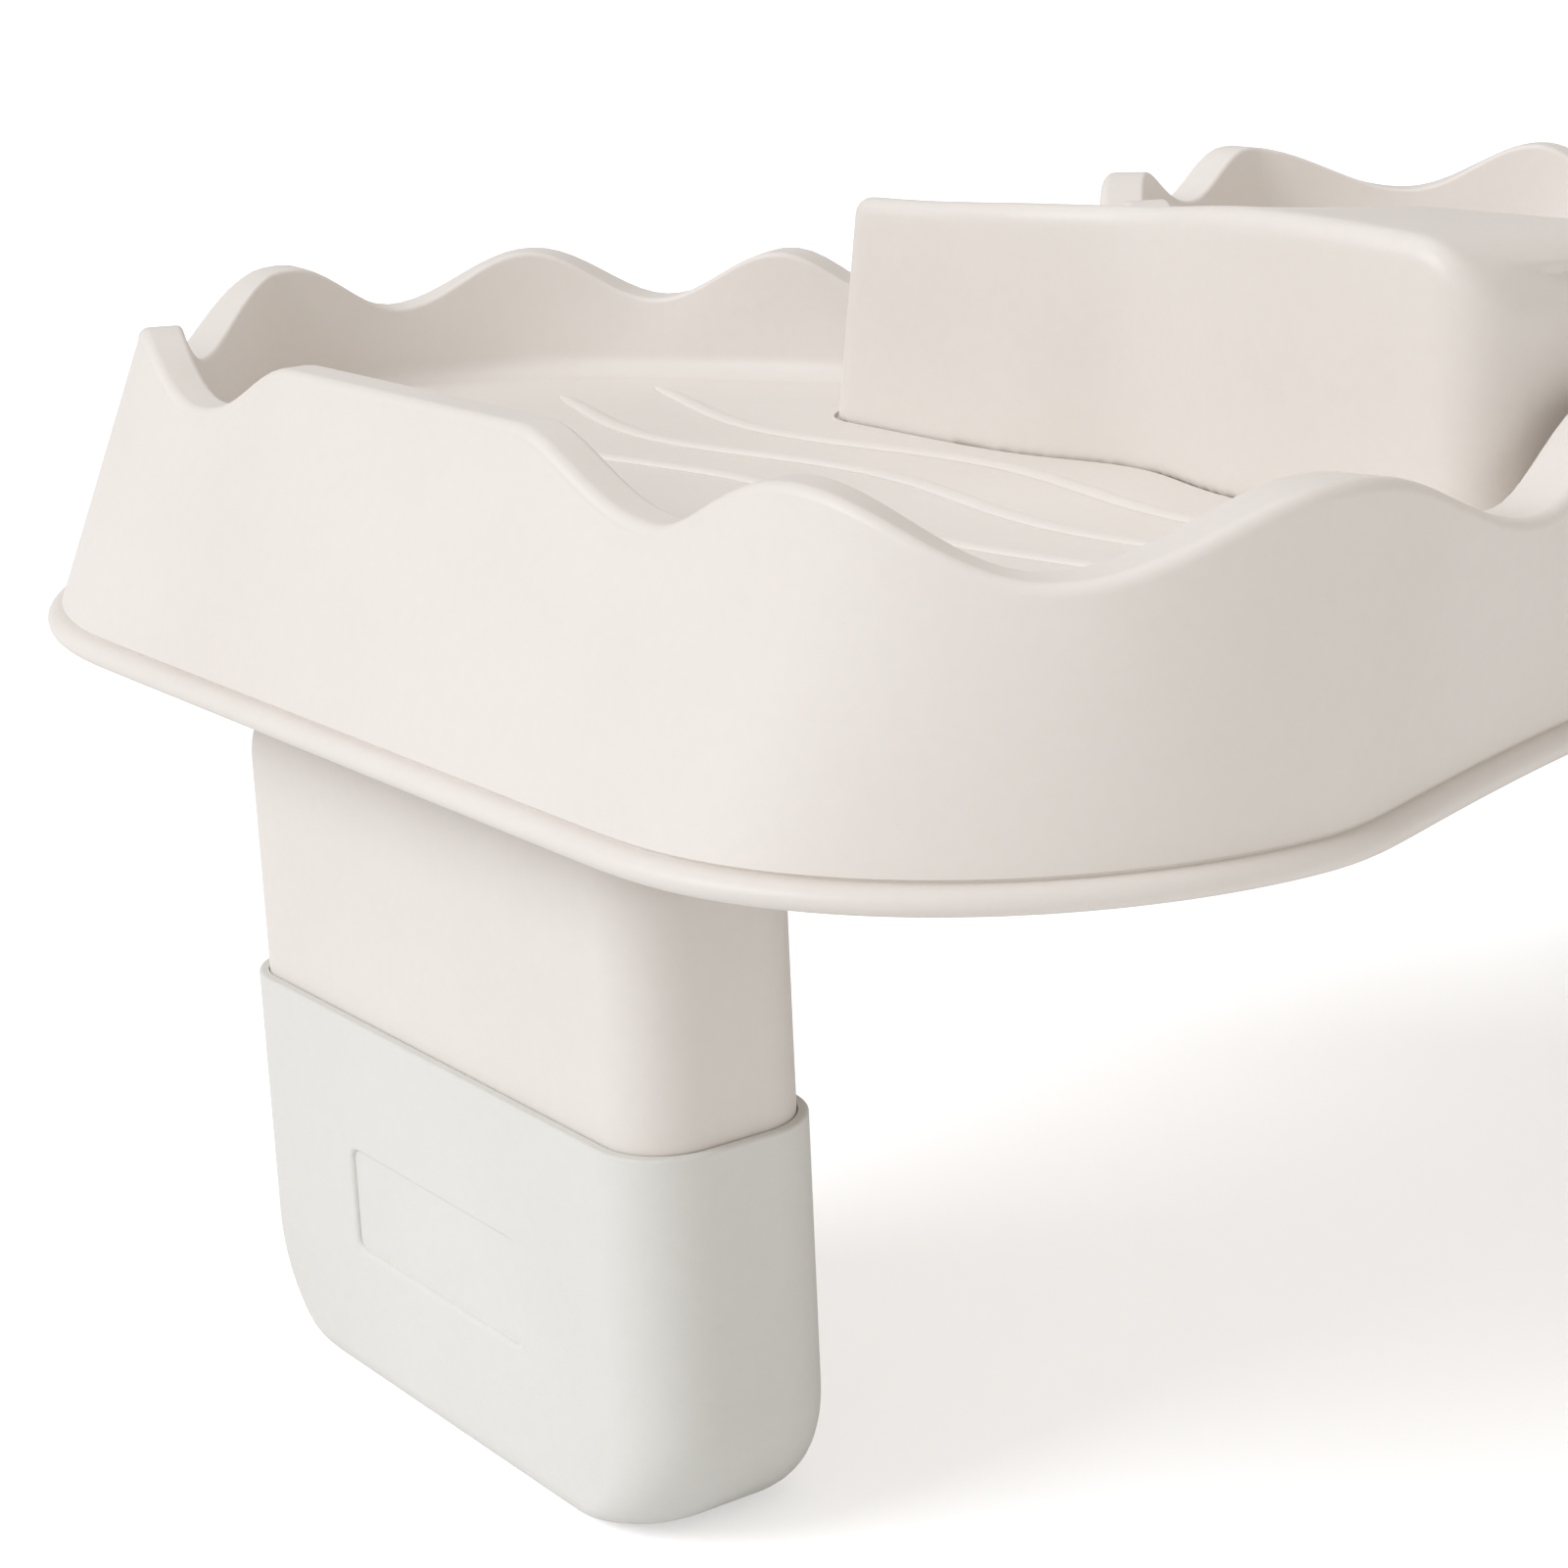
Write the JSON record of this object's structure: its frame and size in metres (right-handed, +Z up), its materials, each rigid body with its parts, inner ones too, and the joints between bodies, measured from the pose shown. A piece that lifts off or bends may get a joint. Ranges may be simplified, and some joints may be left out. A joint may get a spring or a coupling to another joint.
{
  "type": "hot tub side tray",
  "caption": "Bean-shaped side tray with a wavy rim, a lift-out cup holder and sliding legs in soft sleeves that straddle a tub wall.",
  "frame": {"origin": "on the ground under the middle of the tray, with the part standing on its two sleeves", "axes": "+X along the tray from the left leg to the right leg, +Y across the tray away from its near side, +Z up"},
  "size_m": [0.432, 0.327, 0.2096],
  "materials": {
    "tray_plastic": "satin moulded",
    "sleeve_rubber": "soft matte",
    "steel": "plain stainless",
    "brass": "plain"
  },
  "bodies": {
    "tray": {"tray_shell": "tray_plastic", "left_guide_plate": "tray_plastic", "left_plate_screw_1": "steel", "left_plate_screw_2": "steel", "left_plate_screw_3": "steel", "left_plate_screw_4": "steel", "left_threaded_insert": "brass", "right_guide_plate": "tray_plastic", "right_plate_screw_1": "steel", "right_plate_screw_2": "steel", "right_plate_screw_3": "steel", "right_plate_screw_4": "steel", "right_threaded_insert": "brass"},
    "cup_holder": {"cup_holder": "tray_plastic"},
    "left_leg_slide": {"left_bar_screw_1": "steel", "left_bar_screw_2": "steel", "left_leg": "tray_plastic", "left_slide_bar": "tray_plastic"},
    "left_sleeve": {"left_sleeve": "sleeve_rubber"},
    "left_knob": {"left_lock_knob": "tray_plastic", "left_lock_stud": "steel"},
    "right_leg_slide": {"right_bar_screw_1": "steel", "right_bar_screw_2": "steel", "right_leg": "tray_plastic", "right_slide_bar": "tray_plastic"},
    "right_sleeve": {"right_sleeve": "sleeve_rubber"},
    "right_knob": {"right_lock_knob": "tray_plastic", "right_lock_stud": "steel"}
  },
  "joints": [
    {"name": "left_leg_adjustment", "type": "slide", "parent": "tray", "child": "left_leg_slide", "axis": [1, 0, 0], "range_m": [0, 0.08]},
    {"name": "left_sleeve_pull_off", "type": "slide", "parent": "left_leg_slide", "child": "left_sleeve", "axis": [0, 0, -1], "range_m": [0, 0.08]},
    {"name": "left_knob_turn", "type": "hinge", "parent": "tray", "child": "left_knob", "pos_m": [-0.0278, -0.026, 0.14], "axis": [0, 0, 1], "range_deg": [-360, 360]},
    {"name": "right_leg_adjustment", "type": "slide", "parent": "tray", "child": "right_leg_slide", "axis": [-1, 0, 0], "range_m": [0, 0.08]},
    {"name": "right_sleeve_pull_off", "type": "slide", "parent": "right_leg_slide", "child": "right_sleeve", "axis": [0, 0, -1], "range_m": [0, 0.08]},
    {"name": "right_knob_turn", "type": "hinge", "parent": "tray", "child": "right_knob", "pos_m": [0.0278, 0.026, 0.14], "axis": [0, 0, 1], "range_deg": [-360, 360]},
    {"name": "cup_holder_lift", "type": "slide", "parent": "tray", "child": "cup_holder", "axis": [0, 0, 1], "range_m": [0, 0.12]}
  ]
}
